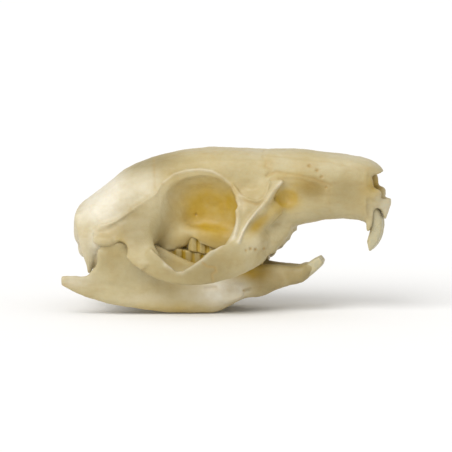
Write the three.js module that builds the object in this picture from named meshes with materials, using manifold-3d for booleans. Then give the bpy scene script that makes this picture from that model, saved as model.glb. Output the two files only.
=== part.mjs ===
// Guinea pig skull with its lower jaw set under it, life size, in millimetres.
// +X runs towards the snout, +Y towards the animal's left and +Z up. The lower jaw rests on z = 0.
// Places are given from a cross plane through the tooth rows, and the whole is moved at the end.

import * as THREE from "three";
import { mergeVertices } from "three/addons/utils/BufferGeometryUtils.js";
import Module from "manifold-3d";

const wasm = await Module();
wasm.setup();

// Driving dimensions
const SIDES = { right: -1, left: 1 };
const GAP = 0.3; // between pieces that meet
const CENTRE_X = 1.4; // the middle of the length, from the cross plane
const FOREHEAD_HALF = 8.3; // half the width over the eye rims
const BRAINCASE_HALF = 12; // half the width over the ears
const SNOUT_HALF = 5.6; // half the width of the muzzle
const UPPER_INCISOR = { x: 25.5, z: 17.4, radius: 5.2, half: 0.95, depth: 1.2, y: 1.1 };
const LOWER_INCISOR = { half: 0.85, depth: 1.2, y: 1.05 };
const BITE = { x: -7, z: 12.8, slope: 0.2 }; // the plane in which the cheek teeth meet
const UPPER_ROW = { front: 8, rear: -6.2, frontY: 3.2, rearY: 6.6, root: 3.4 };
const LOWER_ROW = { front: 3.6, rear: -11, frontY: 4, rearY: 6.9, root: -3.6 };
const BONE = { color: 0xd9ceac, roughness: 0.55, metalness: 0 };
const ENAMEL = { color: 0xe6dcb8, roughness: 0.35, metalness: 0 };

// A closed body from a three.js geometry, with its faces turned out.
function solid(geometry) {
  const plain = geometry.clone();
  plain.deleteAttribute("normal");
  plain.deleteAttribute("uv");
  const merged = mergeVertices(plain, 1e-4);
  const vertProperties = merged.attributes.position.array;
  const make = (triVerts) =>
    new wasm.Manifold(new wasm.Mesh({ numProp: 3, vertProperties, triVerts }));
  const triangles = Uint32Array.from(merged.index.array);
  const made = make(triangles);
  return made.volume() > 0 ? made : make(triangles.reverse());
}

const join = (...bodies) => bodies.reduce((a, b) => a.add(b));

// The largest closed surface of a body.
function largest(body) {
  const pieces = body.decompose();
  return pieces.reduce((a, b) => (b.volume() > a.volume() ? b : a));
}

const power = (value, square) =>
  Math.sign(value) * Math.abs(value) ** (2 / square);

// A body swept through sections [x, y, z, half width, half height, squareness].
// Upright sections stand across X. Others stand across the path, their height towards `up`.
function loft(sections, options = {}) {
  const { sides = 14, rings = 12, upright = false, up = [0, 0, 1], side = 1, grow = 0 } = options;
  const curve = (pick) =>
    new THREE.CatmullRomCurve3(
      sections.map((section) => new THREE.Vector3(...pick(section))),
      false,
      "catmullrom",
      0.5,
    );
  const path = curve(([x, y, z]) => [x, y, z]);
  const size = curve(([, , , w, h, n = 2]) => [w + grow, h + grow, n]);
  const geometry = new THREE.SphereGeometry(1, sides, rings);
  const place = geometry.attributes.position;
  for (let row = 0; row <= rings; row++) {
    const t = Math.min(1, Math.max(0, (row - 1) / (rings - 2)));
    const end = row === 0 || row === rings ? 0 : 1;
    const centre = path.getPoint(t);
    const along = upright ? new THREE.Vector3(1, 0, 0) : path.getTangent(t);
    const across = new THREE.Vector3(...up).cross(along).normalize();
    const high = along.clone().cross(across).normalize();
    const { x: w, y: h, z: square } = size.getPoint(t);
    for (let column = 0; column <= sides; column++) {
      const angle = (2 * Math.PI * (column % sides)) / sides;
      const point = centre
        .clone()
        .addScaledVector(across, power(Math.cos(angle), square) * w * end)
        .addScaledVector(high, power(Math.sin(angle), square) * h * end);
      place.setXYZ(row * (sides + 1) + column, point.x, side * point.y, point.z);
    }
  }
  return solid(geometry);
}

// An egg-shaped body from its centre and its three half sizes.
function egg([x, y, z], sizes, options = {}) {
  const { sides = 16, rings = 10, side = 1, turn = 0, grow = 0 } = options;
  const [a, b, c] = sizes.map((size) => size + grow);
  const geometry = new THREE.SphereGeometry(1, sides, rings);
  geometry.scale(a, b, c);
  geometry.rotateY(turn);
  geometry.translate(x, side * y, z);
  return solid(geometry);
}

// A plate across Y whose outline in X and Z is given, with its middle at y.
function plate(outline, y, thick) {
  const shape = new THREE.Shape(outline.map(([x, z]) => new THREE.Vector2(x, z)));
  const geometry = new THREE.ExtrudeGeometry(shape, { depth: thick, bevelEnabled: false });
  geometry.translate(0, 0, -thick / 2);
  geometry.rotateX(Math.PI / 2);
  geometry.translate(0, y, 0);
  return solid(mergeVertices(geometry.deleteAttribute("normal").deleteAttribute("uv"), 1e-4));
}

// Brain case, forehead and muzzle in one: [x, top, bottom, half width, squareness].
const CORE = [
  [-29.6, 20.4, 12.6, 7.4, 2.3],
  [-28.2, 21.7, 12.2, 9.9, 2.3],
  [-24.5, 24.5, 12.2, 0.94 * BRAINCASE_HALF, 2.3],
  [-20.4, 27.9, 12.6, 0.99 * BRAINCASE_HALF, 2.3],
  [-17, 29.5, 13.2, 0.96 * BRAINCASE_HALF, 2.2],
  [-14.3, 30.5, 13.6, 0.9 * BRAINCASE_HALF, 2.2],
  [-11, 31.4, 14, 1.18 * FOREHEAD_HALF, 2.3],
  [-8, 32, 14.6, 1.1 * FOREHEAD_HALF, 2.4],
  [-4, 32.5, 15.3, 1.03 * FOREHEAD_HALF, 2.6],
  [0, 32.5, 15.8, FOREHEAD_HALF, 2.8],
  [4, 32.4, 16.1, 0.98 * FOREHEAD_HALF, 2.8],
  [8, 32.3, 16.1, 0.9 * FOREHEAD_HALF, 2.8],
  [12, 32.6, 16.5, 1.14 * SNOUT_HALF, 2.8],
  [16.3, 32.4, 17.6, 1.06 * SNOUT_HALF, 2.8],
  [21.2, 31.9, 18.7, SNOUT_HALF, 2.8],
  [26.1, 31.4, 18.8, 0.93 * SNOUT_HALF, 2.8],
  [29.3, 30.6, 18, 0.84 * SNOUT_HALF, 2.6],
];

const core = (grow = 0) =>
  loft(
    CORE.map(([x, top, bottom, w, n]) => [x, 0, (top + bottom) / 2, w, (top - bottom) / 2, n]),
    { sides: 24, rings: 24, upright: true, grow },
  );

const NASAL_TIP = [
  [25.5, 0, 29.7, 4.4, 1.6, 2.6],
  [28, 0, 29.3, 4.2, 1.4, 2.6],
  [29.8, 0, 28.9, 3.6, 1.25, 2.6],
  [31, 0, 28.55, 2.6, 0.8, 2.4],
  [31.7, 0, 28.3, 1.5, 0.35, 2.2],
];

// Edges of the back of the skull and the processes below them.
const NAPE = [
  [-28.5, -0.5, 20.1, 0.7, 0.8],
  [-28.4, 5, 20, 0.7, 0.8],
  [-28, 8.6, 19.4, 0.8, 1.1],
  [-27.3, 9.9, 16.9, 0.9, 1.3],
  [-26.3, 10.1, 14.1, 1, 1.6],
  [-25.8, 9.8, 11.4, 0.9, 1.4],
  [-25.7, 9.5, 9.4, 0.8, 0.8],
  [-26, 9.3, 7.7, 0.4, 0.4],
];

const nape = (side, grow = 0) =>
  loft(NAPE, { sides: 8, rings: 12, up: [1, 0, 0.01], side, grow });

const mastoid = (side, grow = 0) =>
  egg([-25.2, 8.4, 15], [3, 2.7, 5], { side, sides: 12, rings: 8, grow });

// Smooth wall from the side of the brain case in to the back of the eye opening.
const EYE_BACK = [
  [-19.4, 8.6, 18.4, 2.4, 4.6, 2.3],
  [-16.2, 8.9, 18.6, 2.9, 5.6, 2.3],
  [-12.6, 7.4, 18.9, 2.9, 5.6, 2.3],
  [-9.4, 5, 19, 2.6, 5, 2.3],
  [-6.6, 2.8, 19, 1.8, 4, 2.3],
];

const eyeBack = (side, grow = 0) => loft(EYE_BACK, { sides: 12, rings: 9, side, grow });

// Edge that runs from the eye rim back over the ear and forward again to the cheek.
const TEMPLE = [
  [-9.5, 9.2, 24.6, 0.5, 0.5],
  [-11.4, 9.9, 23.9, 0.6, 0.6],
  [-14, 10.6, 22.6, 0.7, 0.7],
  [-16.6, 11.1, 21.1, 0.8, 0.7],
  [-18.6, 11.5, 19.6, 0.8, 0.7],
  [-20.7, 11.8, 18.2, 0.8, 0.7],
  [-23, 11.7, 17.1, 0.8, 0.7],
  [-24.6, 11.3, 16, 0.6, 0.6],
];

const SHELF = [
  [-25.4, 9.9, 16.3, 0.7, 0.7],
  [-22.5, 11.3, 16.2, 0.9, 0.7],
  [-19.5, 12.4, 15.9, 1, 0.7],
  [-17.2, 12.9, 15.4, 0.8, 0.7],
];

// Root of the cheekbone on the brain case.
const SQUAMOSAL = [
  [-16.4, 8, 22, 1.8, 5.6, 2.2],
  [-16.6, 10.7, 19, 1.5, 5.4, 2.2],
  [-15.9, 12.9, 16.2, 1.1, 4.2, 2.2],
  [-14.4, 14.7, 13.3, 0.75, 3.3, 2.2],
  [-12, 15.9, 10.9, 0.6, 2.45, 2.2],
];

const squamosal = (side, grow = 0) =>
  loft(SQUAMOSAL, { sides: 12, rings: 10, up: [0.9, -0.5, 1], side, grow });

const shelf = (side, grow = 0) => loft(SHELF, { sides: 8, rings: 6, side, grow });

// Cheekbone arch, a plate on edge: [x, y, z, half thickness, half height].
const ARCH = [
  [-13.5, 15.4, 12, 0.55, 2.7, 2.4],
  [-12, 15.9, 10.85, 0.6, 2.45, 2.4],
  [-9.35, 16.2, 9.1, 0.6, 1.9, 2.4],
  [-6.7, 16.3, 8.05, 0.6, 1.3, 2.4],
  [-4, 16.1, 8.5, 0.6, 1.95, 2.4],
  [-1, 15.5, 9.5, 0.65, 2.8, 2.4],
  [2, 14.2, 11, 0.7, 3.6, 2.4],
  [5, 12, 11.8, 0.8, 3.5, 2.4],
  [7.3, 9, 12, 0.9, 2.6, 2.4],
  [8.6, 5, 12.6, 0.9, 2.1, 2.4],
];

const arch = (side, grow = 0) =>
  loft(ARCH, { sides: 10, rings: 18, side, grow });

// Plate that climbs from the cheek to the side of the muzzle, round the nerve opening.
const BAR = [
  [2.2, 13, 11.8, 0.6, 1.8, 2.6],
  [3.2, 12.3, 13.8, 0.6, 1.5, 2.6],
  [4, 11.4, 15.8, 0.6, 1.2, 2.6],
  [4.8, 10.6, 17.8, 0.6, 1.3, 2.6],
  [6.1, 9.8, 20.2, 0.65, 2, 2.6],
  [7.4, 8.8, 22.4, 0.7, 3.1, 2.6],
  [8.1, 7.6, 25, 0.8, 3.9, 2.6],
  [9, 5.8, 27.6, 0.9, 4.4, 2.6],
];

// Bone round the roots of the upper cheek teeth.
const UPPER_SOCKETS = [
  [13.9, 2.2, 17.3, 1.9, 1, 2.4],
  [11.8, 3, 16.3, 2.7, 2.8, 2.4],
  [9.2, 3.8, 15, 3.1, 4, 2.4],
  [5, 4.6, 14.4, 3, 3.3, 2.4],
  [0, 5.2, 14.7, 2.6, 2.6, 2.4],
  [-4, 6, 15.2, 2.3, 2.2, 2.4],
  [-7.2, 6.5, 15.9, 1.6, 1.4, 2.4],
];

// One cheek tooth: two lobes side by side along the row.
function tooth([x, y], low, high, pitch, turn) {
  const lobes = [-1, 1].map((step) => {
    const lobe = new THREE.CylinderGeometry(1, 1, high - low, 8, 1);
    lobe.rotateX(Math.PI / 2);
    lobe.scale(pitch * 0.3, 1.35, 1);
    lobe.rotateZ(0.35);
    lobe.translate(step * pitch * 0.24, 0, 0);
    lobe.rotateZ(turn);
    lobe.translate(x, y, (low + high) / 2);
    return solid(lobe);
  });
  return join(...lobes);
}

// The trough that a row of cheek teeth sits in, open on the biting side.
function trough({ front, rear, frontY, rearY, root }, upper, side) {
  const at = (t) => {
    const x = rear + (front - rear) * t;
    const bite = BITE.z - BITE.slope * (x - BITE.x);
    const floor = bite + root + (upper ? 0.75 : -0.75);
    const mouth = bite + (upper ? -4 : 4);
    const y = rearY + (frontY - rearY) * t;
    return [x, y, (floor + mouth) / 2, 1.85, Math.abs(floor - mouth) / 2, 9];
  };
  return loft([-0.045, 0.5, 1.045].map(at), { sides: 16, rings: 5, upright: true, side });
}

// A row of four cheek teeth, worn down to one sloping plane.
function row({ front, rear, frontY, rearY, root }, upper, side) {
  const pitch = (front - rear) / 4;
  const turn = Math.atan2(frontY - rearY, front - rear);
  const teeth = [0, 1, 2, 3].map((i) => {
    const t = (i + 0.5) / 4;
    const x = rear + (front - rear) * t;
    const y = rearY + (frontY - rearY) * t;
    const bite = BITE.z - BITE.slope * (x - BITE.x);
    const ends = upper ? [bite - 2, bite + root] : [bite + root, bite + 2];
    return tooth([x, y], ...ends, pitch, turn);
  });
  const normal = [BITE.slope, 0, 1].map((v) => (upper ? v : -v));
  const level = (BITE.z + BITE.slope * BITE.x) / Math.hypot(BITE.slope, 1);
  const worn = join(...teeth).trimByPlane(normal, upper ? level : GAP - level);
  return side > 0 ? worn : worn.mirror([0, 1, 0]);
}

// An upper incisor: part of a ring from the worn tip up into the bone.
function upperIncisor(side, grow = 0) {
  const { x, z, radius, half, depth, y } = UPPER_INCISOR;
  const sections = [-52, -44, -25, 0, 30, 60, 80].map((degrees, i) => {
    const a = (degrees * Math.PI) / 180;
    const worn = i === 0 ? 0.35 : i === 1 ? 0.75 : 1;
    const r = radius + (1 - worn) * depth;
    return [x + r * Math.cos(a), y, z + r * Math.sin(a), half, depth * worn, 2.8];
  });
  return loft(sections, { sides: 10, rings: 14, up: [1, 0, 0], side, grow });
}

function lowerIncisor(side, grow = 0) {
  const { half, depth, y } = LOWER_INCISOR;
  const sections = [
    [9.5, y, 5.7, half, depth * 0.8, 2.8],
    [12, y, 6.3, half, depth * 0.9, 2.8],
    [14.6, y, 7.1, half, depth, 2.8],
    [16.8, y, 8.4, half, depth, 2.8],
    [18.3, y, 9.6, half, depth * 0.95, 2.8],
    [19.6, y, 10.6, half * 0.95, depth * 0.7, 2.8],
  ];
  return loft(sections, { sides: 10, rings: 8, side, grow });
}

// Lower jaw: [x, bottom, top, y, half thickness] for the body, then the hind blade and the edges.
const JAW = [
  [15.9, 6.1, 9.3, 1.4, 1.35, 2.4],
  [12.6, 5, 9.4, 1.7, 1.7, 2.4],
  [10, 4.1, 9.6, 2.2, 2.1, 2.4],
  [8, 3.1, 9.8, 2.8, 2.5, 2.4],
  [5.3, 2.9, 10, 4, 2.6, 2.4],
  [3.3, 2.2, 10, 4.7, 2.6, 2.4],
  [0.3, 0.4, 10.2, 5.5, 2.6, 2.4],
  [-2.9, -0.3, 10.2, 6.4, 2.5, 2.4],
  [-7.8, -0.4, 10.6, 7.8, 2.3, 2.4],
  [-12.8, 0.4, 12.6, 9.9, 1.3, 2.4],
  [-17.8, 1.4, 14, 11.9, 0.8, 2.4],
  [-20.5, 1.9, 14.2, 12.4, 0.75, 2.4],
  [-23.6, 2.6, 13.2, 12.8, 0.65, 2.4],
];

const HIND_BLADE = [
  [-5, 7.2, 3.4, 1.6, 2.4, 2.4],
  [-9, 8.6, 3.6, 1.7, 3, 2.4],
  [-13, 10.2, 4, 1.3, 3.4, 2.4],
  [-18, 11.7, 4.6, 1.1, 3.2, 2.4],
  [-23, 12.8, 5.1, 0.9, 2.65, 2.4],
  [-27, 13.5, 5.85, 0.75, 1.95, 2.4],
  [-30.6, 14, 6.75, 0.6, 1, 2.4],
];

const JAW_RIDGE = [
  [-15.5, 11, 14.2, 0.6, 0.7],
  [-13.6, 10.4, 13.8, 0.7, 0.8],
  [-10.6, 9.7, 12.2, 0.8, 0.9],
  [-7.5, 9.2, 10.4, 0.9, 1],
  [-4.5, 8.7, 9.3, 0.9, 1],
  [0, 7.8, 8, 0.7, 0.8],
];

function wholeJaw(side, grow = 0) {
  const body = JAW.map(([x, low, high, y, w, n]) => [x, y, (low + high) / 2, w, (high - low) / 2, n]);
  const small = { side, sides: 10, rings: 6, grow };
  return join(
    loft(body, { sides: 14, rings: 20, upright: true, side, grow }),
    loft(HIND_BLADE, { sides: 10, rings: 10, upright: true, side, grow }),
    loft(JAW_RIDGE, { sides: 7, rings: 8, side, grow }),
    egg([-20.6, 12.2, 14.2], [3.2, 1.1, 1], small),
    egg([-24, 12.9, 8], [1.4, 0.7, 2.2], { ...small, turn: 0.5 }),
    egg([0.2, 7.3, 4.3], [5.4, 1.5, 2], { ...small, turn: 0.1 }),
  );
}

const jaw = (side) =>
  wholeJaw(side)
    .subtract(lowerIncisor(side, GAP))
    .subtract(trough(LOWER_ROW, false, side))
    .trimByPlane([0, 0, 1], 0)
    .trimByPlane([0, side, 0], GAP / 2);

// Thin plates behind the palate, on each side of the opening of the throat.
const PTERYGOID = [
  [-9.6, 3.3, 14.4, 0.45, 1.9],
  [-12, 3.5, 13.6, 0.45, 2],
  [-14.5, 4, 13.2, 0.4, 1.4],
  [-16, 4.5, 13.2, 0.35, 0.8],
];

const pterygoid = (side, grow = 0) => loft(PTERYGOID, { sides: 8, rings: 7, side, grow });

// Where the middle of the arch, a bone of its own, meets the skull: an upright joint in front
// and a slanting one behind.
const FRONT_JOINT = -3.8;
const REAR_JOINT = { x: -13.5, z: 12, slant: 0.8 };

function cheekParts(side) {
  const { x, z, slant } = REAR_JOINT;
  const long = Math.hypot(1, slant);
  const place = (x - slant * z) / long;
  const whole = join(arch(side), squamosal(side));
  return {
    front: arch(side).trimByPlane([1, 0, 0], FRONT_JOINT + GAP / 2),
    middle: whole
      .trimByPlane([1, 0, -slant], place + GAP / 2)
      .trimByPlane([-1, 0, 0], -FRONT_JOINT + GAP / 2)
      .subtract(wholeJaw(side, GAP)),
    rear: whole.trimByPlane([-1, 0, slant], -place + GAP / 2),
  };
}

const eyeHollow = (side) =>
  egg([-3.1, 13, 19], [10.2, 8.2, 11.4], { side, sides: 16, rings: 11 });

const templeHollow = (side) =>
  loft(
    [
      [-22.5, 13.2, 17, 0.4, 0.3],
      [-19.5, 13.6, 17.3, 1.5, 1],
      [-16, 13.5, 18.4, 2.4, 2.4],
      [-12.5, 13.4, 19.4, 3.4, 3.8],
      [-8, 13.2, 19.5, 5, 6],
    ],
    { sides: 12, rings: 8, side },
  );

// Front of the upper jaw under the nose, and the point that hangs from it before the incisors.
const PROW = [
  [28.6, 0, 22.9, 4.3, 1.7, 2.4],
  [30.2, 0, 22.5, 3.9, 1.2, 2.4],
  [31.5, 0, 22.2, 3, 1.4, 2.2],
  [32.6, 0, 22.2, 1.9, 1.4, 2],
  [33.4, 0, 22.5, 0.7, 0.9, 2],
];

const PROW_POINT = [
  [31.9, 0, 22.5, 1.8, 1.3],
  [32.2, 0, 20.9, 1.5, 0.95],
  [32.25, 0, 19.7, 1.1, 0.45],
  [32.2, 0, 18.9, 0.5, 0.2],
];

// Floor of the trough in which the nerve of the muzzle runs, from its opening back to the arch.
const NERVE_TROUGH = [
  [13.2, 4.4, 23, 1.2, 1.2],
  [12.4, 5.4, 22.4, 1.6, 1.6],
  [10.6, 6.9, 21, 2, 2],
  [8, 7.4, 18.4, 1.9, 1.9],
  [6.8, 8.4, 16.8, 1.7, 1.7],
  [6, 9.4, 15.4, 1.1, 1.1],
];

function cranium() {
  const { x, z, radius } = UPPER_INCISOR;
  const sheath = loft(
    [115, 90, 65, 40, 15, -10].map((degrees) => {
      const a = (degrees * Math.PI) / 180;
      return [x + radius * Math.cos(a), 0, z + radius * Math.sin(a), 2.7, 1.95, 2.6];
    }),
    { sides: 10, rings: 10, up: [-1, 0, 0.2] },
  ).trimByPlane([-1, 0, 0.16], (-29.35 - 0.16 * -16.7) / Math.hypot(1, 0.16));
  let whole = core().add(loft(NASAL_TIP, { sides: 16, rings: 12, upright: true }));
  for (const side of [-1, 1]) {
    whole = whole.subtract(eyeHollow(side)).subtract(templeHollow(side));
  }
  whole = join(
    whole,
    sheath,
    loft(PROW, { sides: 14, rings: 8, upright: true }),
    loft(PROW_POINT, { sides: 8, rings: 7, up: [1, 0, 0] }),
  );
  for (const side of [-1, 1]) {
    const { front, rear } = cheekParts(side);
    whole = join(
      whole,
      nape(side),
      loft(TEMPLE, { sides: 7, rings: 10, side }),
      shelf(side),
      pterygoid(side),
      front,
      rear,
      loft(BAR, { sides: 9, rings: 11, up: [1, 0, 0], side }),
      loft(UPPER_SOCKETS, { sides: 12, rings: 10, upright: true, side }),
      loft(NERVE_TROUGH, { sides: 9, rings: 7, side }),
      egg([6.8, 7.6, 14.8], [3.2, 2.3, 2.9], { side, sides: 10, rings: 7 }),
      egg([-27.9, 3.6, 12.3], [1.6, 1.5, 2.3], { side, sides: 12, rings: 8 }),
      eyeBack(side),
      egg([-13, 9.2, 19], [3.2, 2.4, 4.4], { side, sides: 10, rings: 7 }),
      mastoid(side),
    );
  }
  const nostril = loft(
    [
      [25.2, 0, 25.3, 2.6, 2.2, 2.4],
      [26.4, 0, 25.4, 3.4, 2.8, 2.4],
      [28, 0, 25.6, 3.7, 3, 2.4],
      [29.6, 0, 25.5, 3.5, 2.9, 2.4],
      [34, 0, 25.6, 2.6, 2.5, 2.4],
    ],
    { sides: 16, rings: 8, upright: true },
  );
  const foramenMagnum = loft(
    [
      [-33, 0, 14.4, 3, 2.7],
      [-29.4, 0, 14.8, 3.2, 2.8],
      [-27, 0, 15.8, 3.8, 3.4],
      [-23, 0, 17.6, 4.8, 4.4],
      [-19.5, 0, 18.4, 3, 2.6],
    ],
    { sides: 14, rings: 8, upright: true },
  );
  const throat = egg([-8.2, 0, 14.2], [4.6, 2.3, 2.6], { sides: 12, rings: 8 });
  whole = whole.subtract(nostril).subtract(foramenMagnum).subtract(throat);
  for (const side of [-1, 1]) {
    whole = whole
      .subtract(upperIncisor(side, GAP))
      .subtract(trough(UPPER_ROW, true, side))
      .subtract(wholeJaw(side, GAP))
      .subtract(egg([-19, 14.4, 12.9], [2.2, 2.4, 2.2], { side, sides: 12, rings: 8 }))
      .subtract(egg([13.4, 6.6, 23.1], [1.7, 1.5, 1.4], { side, sides: 12, rings: 8 }));
  }
  return whole;
}

// Line between the face and the brain case, seen from the side.
const FACE = [
  [8.5, 45],
  [8.5, 25.4],
  [4, 24.6],
  [-9, 15],
  [-9, -5],
  [60, -5],
  [60, 45],
];

function nasalBlock(grow) {
  const shape = new THREE.Shape(
    [
      [8 - grow, -3.2 - grow],
      [40, -4.4 - grow],
      [40, 4.4 + grow],
      [8 - grow, 3.2 + grow],
    ].map(([x, y]) => new THREE.Vector2(x, y)),
  );
  const geometry = new THREE.ExtrudeGeometry(shape, { depth: 20, bevelEnabled: false });
  geometry.translate(0, 0, 28.9 - grow);
  return solid(mergeVertices(geometry.deleteAttribute("normal").deleteAttribute("uv"), 1e-4));
}

const bulla = (side) =>
  join(
    egg([-20, 7.2, 11.6], [6.4, 3.7, 5.5], { side, sides: 14, rings: 9 }),
    loft(
      [
        [-22, 8.4, 13, 1.8, 2],
        [-22.8, 10.6, 13.9, 1.5, 1.6],
        [-23, 11.4, 14.2, 1.3, 1.4],
      ],
      { sides: 12, rings: 6, up: [1, 0, 0], side },
    ),
  ).subtract(
    loft(
      [
        [-22.4, 9.6, 13.5, 0.8, 0.8],
        [-23.2, 12.4, 14.4, 0.9, 0.9],
      ],
      { sides: 10, rings: 4, up: [1, 0, 0], side },
    ),
  );

const part = new THREE.Group();
part.name = "guinea_pig_skull";

const materials = {
  bone: new THREE.MeshStandardMaterial({ name: "bone", ...BONE }),
  teeth: new THREE.MeshStandardMaterial({ name: "teeth", ...ENAMEL }),
};

function mesh(name, material, body) {
  const { numProp, vertProperties, triVerts } = largest(body).getMesh();
  const geometry = new THREE.BufferGeometry();
  const count = vertProperties.length / numProp;
  const positions = new Float32Array(count * 3);
  for (let i = 0; i < count; i++) {
    positions.set(vertProperties.subarray(i * numProp, i * numProp + 3), i * 3);
  }
  geometry.setAttribute("position", new THREE.BufferAttribute(positions, 3));
  geometry.setIndex(new THREE.BufferAttribute(triVerts, 1));
  geometry.translate(-CENTRE_X, 0, 0);
  geometry.computeVertexNormals();
  const made = new THREE.Mesh(geometry, materials[material]);
  made.name = name;
  part.add(made);
}

const skull = cranium();
const face = skull.intersect(plate(FACE, 0, 80));
const rearLine = FACE.map(([x, z]) => [x < 50 ? x - GAP : x, z > 0 ? z + GAP : z]);
mesh("braincase", "bone", skull.subtract(plate(rearLine, 0, 80)));
mesh("rostrum", "bone", face.subtract(nasalBlock(GAP)));
mesh("nasal_bones", "bone", face.intersect(nasalBlock(0)));

for (const [name, side] of Object.entries(SIDES)) {
  mesh(`jugal_${name}`, "bone", cheekParts(side).middle);
  const near = [nape, mastoid, eyeBack, shelf, squamosal, pterygoid].map((bone) => bone(side, GAP));
  mesh(`bulla_${name}`, "bone", bulla(side).subtract(join(core(GAP), wholeJaw(side, GAP), ...near)));
  mesh(`mandible_${name}`, "bone", jaw(side));
  mesh(`upper_incisor_${name}`, "teeth", upperIncisor(side));
  mesh(`lower_incisor_${name}`, "teeth", lowerIncisor(side));
  mesh(`upper_cheek_teeth_${name}`, "teeth", row(UPPER_ROW, true, side));
  mesh(`lower_cheek_teeth_${name}`, "teeth", row(LOWER_ROW, false, side));
}

export default part;
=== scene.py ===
"""Dry guinea pig skull, life size: skull bones, lower jaw, teeth, table and lights."""

import math

import bmesh
import bpy
import numpy as np
from mathutils import Matrix, Vector, noise
from mathutils.bvhtree import BVHTree


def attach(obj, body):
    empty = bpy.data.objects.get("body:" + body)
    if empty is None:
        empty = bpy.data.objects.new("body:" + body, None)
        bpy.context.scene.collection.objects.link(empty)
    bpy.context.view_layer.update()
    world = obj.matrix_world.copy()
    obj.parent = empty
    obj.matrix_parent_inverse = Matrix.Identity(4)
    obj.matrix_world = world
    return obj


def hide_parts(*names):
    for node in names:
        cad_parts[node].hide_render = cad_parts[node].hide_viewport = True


bl_info = {
    "name": "Guinea Pig Skull",
    "version": (1, 0, 0),
    "blender": (4, 5, 0),
    "location": "3D View > Sidebar > Skull",
    "description": "Dry skull of a guinea pig with its bones, teeth, table and lights",
    "category": "Object",
}

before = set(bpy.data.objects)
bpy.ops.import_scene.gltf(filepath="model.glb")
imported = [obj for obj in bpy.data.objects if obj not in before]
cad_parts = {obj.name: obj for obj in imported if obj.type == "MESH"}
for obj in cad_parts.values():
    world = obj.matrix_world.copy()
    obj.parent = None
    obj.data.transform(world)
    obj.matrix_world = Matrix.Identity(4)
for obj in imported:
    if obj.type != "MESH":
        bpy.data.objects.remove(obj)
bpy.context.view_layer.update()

MM = 0.001
CENTRE_X = 1.4  # the cross plane through the tooth rows, from the middle of the length
SIDES = {"right": -1, "left": 1}
JAW_SEAL = 0.0001  # how far the skin of each kind of piece reaches over small gaps
CHEEK_TOOTH_SEAL = 0.00005
INCISOR_SEAL = 0.00003
BONE_REACH = 0.008  # how far each kind of piece looks for walls around it to find its hollows
JAW_REACH = 0.006
CHEEK_TOOTH_REACH = 0.0015
INCISOR_REACH = 0.002
KEY_FROM = (-0.3, -0.78, 0.76)
MOTTLE_TINT = (0.7, 0.56, 0.34)
GRAIN_TINT = (0.72, 0.58, 0.38)
SKULL_NODES = (
    "braincase",
    "rostrum",
    "nasal_bones",
    "jugal_right",
    "jugal_left",
    "bulla_right",
    "bulla_left",
)


def place(x, y, z):
    """Place in metres of a point in millimetres from the cross plane, the middle and the table."""
    return Vector(((x - CENTRE_X) * MM, y * MM, z * MM))


# Settings


class SkullSettings(bpy.types.PropertyGroup):
    cell: bpy.props.FloatProperty(
        name="Cell",
        description="Edge length of the faces of the skull bones before they are thinned",
        default=0.00024,
        precision=5,
        unit="LENGTH",
    )
    seal: bpy.props.FloatProperty(
        name="Seal",
        description="Half the width of the joints between bones that close up",
        default=0.00022,
        precision=5,
        unit="LENGTH",
    )
    softness: bpy.props.IntProperty(
        name="Softness",
        description="Rounds of smoothing over the skull bones",
        default=10,
    )
    triangles: bpy.props.IntProperty(
        name="Triangles",
        description="Most triangles on the skull bones",
        default=190000,
    )
    swell: bpy.props.FloatProperty(
        name="Swell",
        description="Height of the gentle unevenness of the bone",
        default=0.00009,
        precision=5,
        unit="LENGTH",
    )


class JawSettings(bpy.types.PropertyGroup):
    cell: bpy.props.FloatProperty(
        name="Cell",
        description="Edge length of the faces of the jaw halves",
        default=0.0002,
        precision=5,
        unit="LENGTH",
    )
    softness: bpy.props.IntProperty(
        name="Softness",
        description="Rounds of smoothing over the jaw halves",
        default=14,
    )
    swell: bpy.props.FloatProperty(
        name="Swell",
        description="Height of the gentle unevenness of the bone",
        default=0.00008,
        precision=5,
        unit="LENGTH",
    )


class ToothSettings(bpy.types.PropertyGroup):
    cell: bpy.props.FloatProperty(
        name="Cell",
        description="Edge length of the faces that the teeth are grown with",
        default=0.00013,
        precision=5,
        unit="LENGTH",
    )


class FinishSettings(bpy.types.PropertyGroup):
    # Ivory is laid on paler bone and also as painted highlight along rims and on spots made to look lit.
    ivory: bpy.props.FloatVectorProperty(
        name="Ivory",
        description="Colour of the palest, best cleaned bone",
        default=(0.73, 0.685, 0.56),
        subtype="COLOR",
    )
    cream: bpy.props.FloatVectorProperty(
        name="Cream",
        description="Colour of most of the bone",
        default=(0.5, 0.43, 0.245),
        subtype="COLOR",
    )
    # Tan is also painted shade, laid into the shallow hollows.
    tan: bpy.props.FloatVectorProperty(
        name="Tan",
        description="Colour of warmer patches and of shallow hollows",
        default=(0.44, 0.335, 0.135),
        subtype="COLOR",
    )
    # Amber is painted shade, warm like light glowing through thin bone, laid into deep hollows and
    # recesses.
    amber: bpy.props.FloatVectorProperty(
        name="Amber",
        description="Colour of the greasy stains deep in the hollows",
        default=(0.46, 0.3, 0.028),
        subtype="COLOR",
    )
    # Seam also paints two shadow lines: under the brow edge and in the slot on the jaw below the
    # cheekbone.
    seam: bpy.props.FloatVectorProperty(
        name="Seam",
        description="Colour of the sutures and small holes",
        default=(0.4, 0.25, 0.07),
        subtype="COLOR",
    )
    # Painted shade: this tint darkens the stretches of bone that stand in shadow.
    shade_tint: bpy.props.FloatVectorProperty(
        name="Dusk",
        description="Tint laid over the duller stretches of bone",
        default=(0.66, 0.62, 0.5),
        subtype="COLOR",
    )
    enamel: bpy.props.FloatVectorProperty(
        name="Enamel",
        description="Colour of the enamel",
        default=(0.42, 0.385, 0.25),
        subtype="COLOR",
    )


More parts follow.
